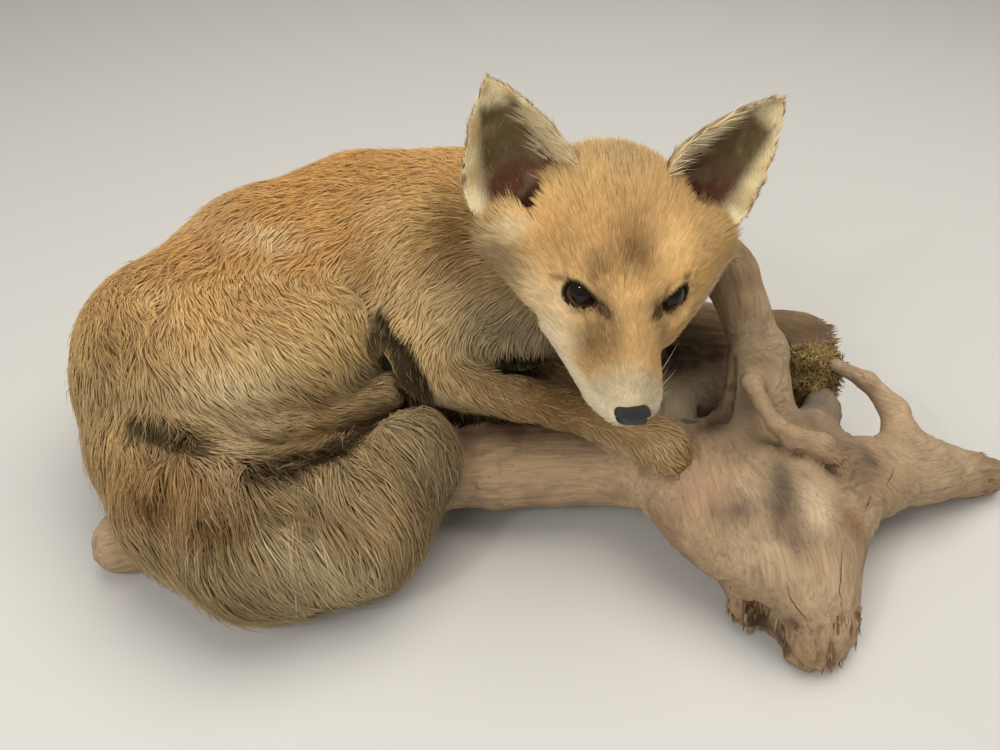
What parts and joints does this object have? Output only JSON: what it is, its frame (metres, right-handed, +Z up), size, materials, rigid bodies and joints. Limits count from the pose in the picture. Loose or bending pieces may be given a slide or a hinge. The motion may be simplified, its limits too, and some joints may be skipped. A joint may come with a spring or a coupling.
{
  "type": "taxidermy red fox on driftwood",
  "caption": "Life-size taxidermy young red fox, curled up with its head raised and its paws over a piece of driftwood root that serves as its mount.",
  "frame": {"origin": "on the floor, under the middle of the whole model", "axes": "+Z up; +X along the longest side, from the rump to the root's broken spike; -Y is the side of the face and the tail"},
  "size_m": [0.5522, 0.3318, 0.2482],
  "materials": {
    "coat": "soft dry fur, sandy ginger to cream, with fine hairs lying along the body",
    "eye": "polished dark brown glass eye with an amber lower rim",
    "nose": "slate-black, finely pebbled, half matt",
    "claw": "dark horn, half matt",
    "driftwood": "bare weathered wood, cracked along the grain, unvarnished",
    "moss": "dry yellow-brown moss, rough and matt"
  },
  "bodies": {
    "root": {"trunk": "coat", "neck": "coat", "shoulder_right": "coat", "shoulder_left": "coat", "thigh_right": "coat", "thigh_left": "coat", "head": "coat", "hind_foot_right": "coat", "hind_foot_left": "coat", "foreleg_right": "coat", "foreleg_left": "coat", "tail_base": "coat", "tail_middle": "coat", "tail_end": "coat", "ear_right": "coat", "ear_left": "coat", "eye_right": "eye", "eye_left": "eye", "nose": "nose", "root_stem": "driftwood", "root_hub": "driftwood", "root_lobe": "driftwood", "root_prong": "driftwood", "root_spike": "driftwood", "root_arch_front": "driftwood", "root_arch_back": "driftwood", "root_under": "driftwood", "root_loop": "driftwood", "root_twig": "driftwood", "root_moss": "moss"}
  },
  "joints": []
}
